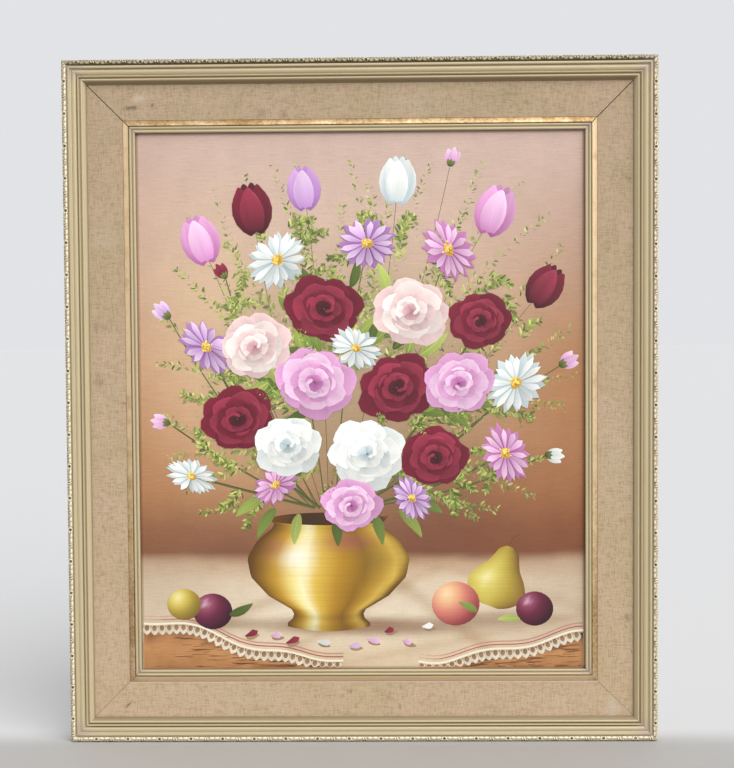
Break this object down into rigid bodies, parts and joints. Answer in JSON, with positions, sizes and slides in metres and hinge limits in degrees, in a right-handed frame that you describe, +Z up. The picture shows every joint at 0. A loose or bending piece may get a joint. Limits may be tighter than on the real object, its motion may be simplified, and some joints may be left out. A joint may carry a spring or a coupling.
{
  "type": "framed oil painting",
  "caption": "Framed still-life oil painting: stretched canvas, reeded champagne slip, gilt bevel, linen liner and a champagne moulding with a carved bead along its outer edge; hangs on a wall.",
  "frame": {"origin": "on the flat back of the top outer moulding, at the middle of its length, where the wall or a hanger bears", "axes": "+Z up the picture, +Y from the picture to the wall, +X to a viewer's right"},
  "size_m": [0.6566, 0.0301, 0.7585],
  "materials": {
    "champagne_lacquered_wood": "satin champagne metallic lacquer over gesso, rubbed, brown in the grooves, grey-mauve touch-up at the corners",
    "worn_gilt": "metal leaf gilding on wood, rubbed and nicked, darker where the light misses it",
    "woven_linen": "natural linen cloth stretched over a wooden liner, slubbed weave with a few brown stains",
    "painted_canvas": "oil paint in brush strokes on primed cotton canvas; raw cloth behind",
    "bare_pine": "bare planed pine"
  },
  "bodies": {
    "root": {"outer_moulding_top": "champagne_lacquered_wood", "outer_moulding_right": "champagne_lacquered_wood", "outer_moulding_bottom": "champagne_lacquered_wood", "outer_moulding_left": "champagne_lacquered_wood", "inner_slip_top": "champagne_lacquered_wood", "inner_slip_right": "champagne_lacquered_wood", "inner_slip_bottom": "champagne_lacquered_wood", "inner_slip_left": "champagne_lacquered_wood", "gilt_bevel_top": "worn_gilt", "gilt_bevel_right": "worn_gilt", "gilt_bevel_bottom": "worn_gilt", "gilt_bevel_left": "worn_gilt", "linen_liner_top": "woven_linen", "linen_liner_right": "woven_linen", "linen_liner_bottom": "woven_linen", "linen_liner_left": "woven_linen", "stretcher_bar_top": "bare_pine", "stretcher_bar_right": "bare_pine", "stretcher_bar_bottom": "bare_pine", "stretcher_bar_left": "bare_pine", "painted_canvas": "painted_canvas"}
  },
  "joints": []
}
